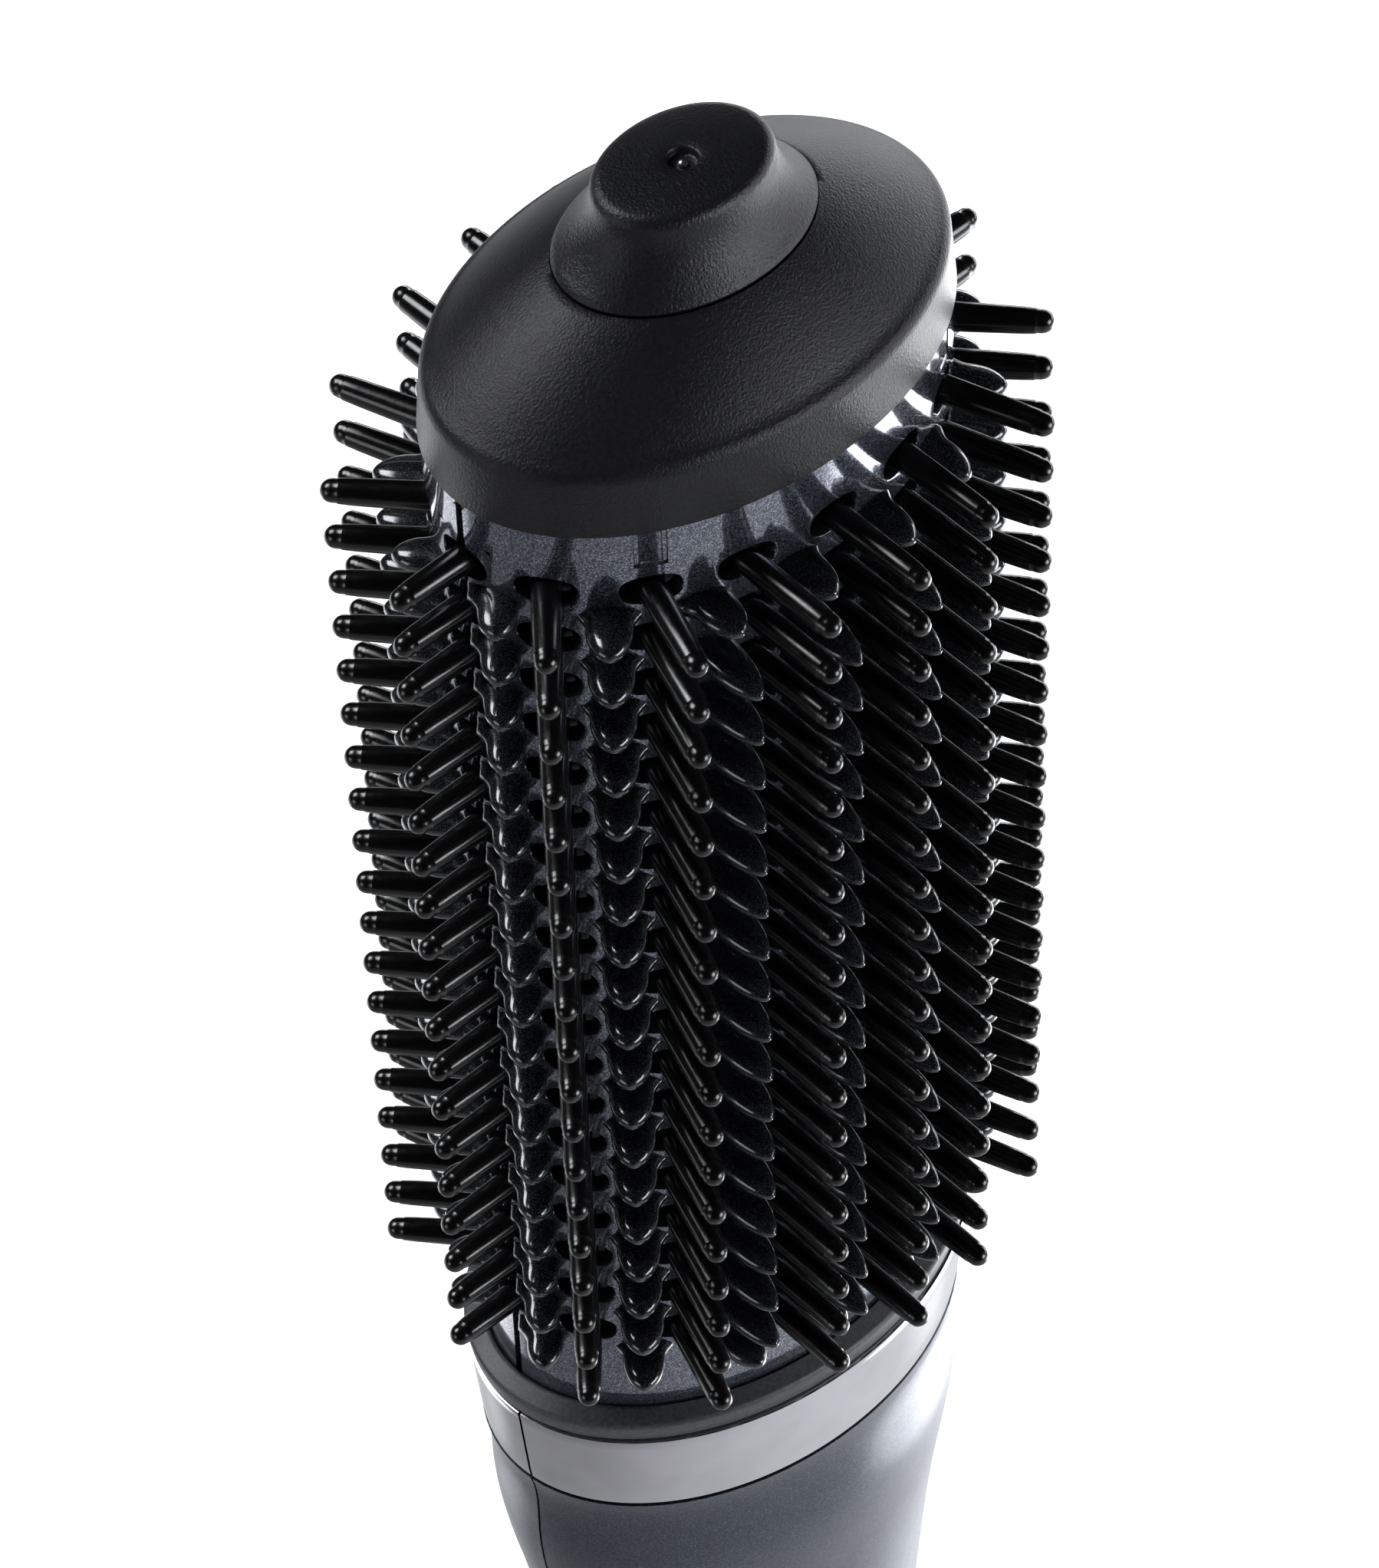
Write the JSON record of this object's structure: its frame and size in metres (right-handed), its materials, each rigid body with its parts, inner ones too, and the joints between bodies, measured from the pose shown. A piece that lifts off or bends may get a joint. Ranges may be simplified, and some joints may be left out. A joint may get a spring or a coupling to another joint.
{
  "type": "hot air brush",
  "caption": "Corded hot air styling brush: oval bristled barrel with tongues, cool tip cap, polished band, waisted handle with buttons, fan, heater and slide-off tail filter.",
  "frame": {"origin": "centre of the tail's flat foot, on the brush's centre line, at the surface that it stands on", "axes": "+Z along the brush from the tail to the tip knob, X along the wide way of the oval barrel, Y along its narrow way with the control face towards -Y"},
  "size_m": [0.074, 0.064, 0.38],
  "materials": {
    "soft_black": "fine soft-touch grain",
    "gunmetal": "glossy blue-grey metallic flake",
    "bristle_nylon": "glossy black nylon",
    "charcoal_grain": "coarse matte grain",
    "polished_band": "satin mirror",
    "slate_satin": "satin metallic",
    "control_gloss": "gloss",
    "lens": "clear",
    "button_soft": "fine matt",
    "steel": "turned",
    "core_alloy": "rolled",
    "heat_plastic": "moulded",
    "mica": "layered sheet",
    "resistance_wire": "drawn wire",
    "brass_part": "plain",
    "board_green": "solder mask",
    "gasket_rubber": "matt",
    "magnet": "sintered",
    "fan_plastic": "moulded",
    "mesh_steel": "woven"
  },
  "bodies": {
    "brush": {"air_core": "core_alloy", "band_back": "polished_band", "band_front": "polished_band", "barrel_back": "gunmetal", "barrel_front": "gunmetal", "bristle_ring_bottom": "heat_plastic", "bristle_ring_top": "heat_plastic", "bristle_strip_01": "bristle_nylon", "bristle_strip_02": "bristle_nylon", "bristle_strip_03": "bristle_nylon", "bristle_strip_04": "bristle_nylon", "bristle_strip_05": "bristle_nylon", "bristle_strip_06": "bristle_nylon", "bristle_strip_07": "bristle_nylon", "bristle_strip_08": "bristle_nylon", "bristle_strip_09": "bristle_nylon", "bristle_strip_10": "bristle_nylon", "bristle_strip_11": "bristle_nylon", "bristle_strip_12": "bristle_nylon", "bristle_strip_13": "bristle_nylon", "bristle_strip_14": "bristle_nylon", "bristle_strip_15": "bristle_nylon", "bristle_strip_16": "bristle_nylon", "cap_screws": "steel", "circuit_board": "board_green", "collar": "charcoal_grain", "control_plate": "control_gloss", "cool_tip_knob": "soft_black", "end_cap": "soft_black", "gland_retainer": "heat_plastic", "handle_back": "slate_satin", "handle_front": "slate_satin", "heater_base": "heat_plastic", "heater_board_narrow": "mica", "heater_board_wide": "mica", "heater_winding": "resistance_wire", "indicator_lens": "lens", "motor_bushes": "brass_part", "motor_can": "steel", "motor_duct": "heat_plastic", "motor_gasket_lower": "gasket_rubber", "motor_gasket_upper": "gasket_rubber", "motor_magnets": "magnet", "shell_screws": "steel", "tact_switches": "control_gloss", "tail_frame": "charcoal_grain", "thermal_fuse": "brass_part", "thermostat": "brass_part", "tip_pin": "steel"},
    "fan": {"impeller": "fan_plastic", "motor_shaft": "steel", "rotor_core": "steel"},
    "cool_shot_button": {"cool_shot_button": "button_soft"},
    "power_button": {"power_button": "button_soft"},
    "heat_button": {"heat_button": "button_soft"},
    "filter": {"filter_sleeve": "slate_satin", "filter_mesh": "mesh_steel"},
    "gland": {"cord_gland": "button_soft"}
  },
  "joints": [
    {"name": "fan_spin", "type": "hinge", "parent": "brush", "child": "fan", "pos_m": [0, -0.0007, 0.17], "axis": [0, 0, 1], "continuous": true},
    {"name": "cool_shot_press", "type": "slide", "parent": "brush", "child": "cool_shot_button", "axis": [0, 1, 0], "range_m": [0, 0.0008], "stiffness_N_per_m": 900, "springref_m": -0.0004},
    {"name": "power_press", "type": "slide", "parent": "brush", "child": "power_button", "axis": [0, 1, 0], "range_m": [0, 0.0008], "stiffness_N_per_m": 900, "springref_m": -0.0004},
    {"name": "heat_press", "type": "slide", "parent": "brush", "child": "heat_button", "axis": [0, 1, 0], "range_m": [0, 0.0008], "stiffness_N_per_m": 900, "springref_m": -0.0004},
    {"name": "filter_slide", "type": "slide", "parent": "brush", "child": "filter", "axis": [0, 0, -1], "range_m": [0, 0.045]},
    {"name": "gland_swivel", "type": "hinge", "parent": "brush", "child": "gland", "pos_m": [0, 0, 0.007], "axis": [0, 0, 1], "continuous": true}
  ]
}
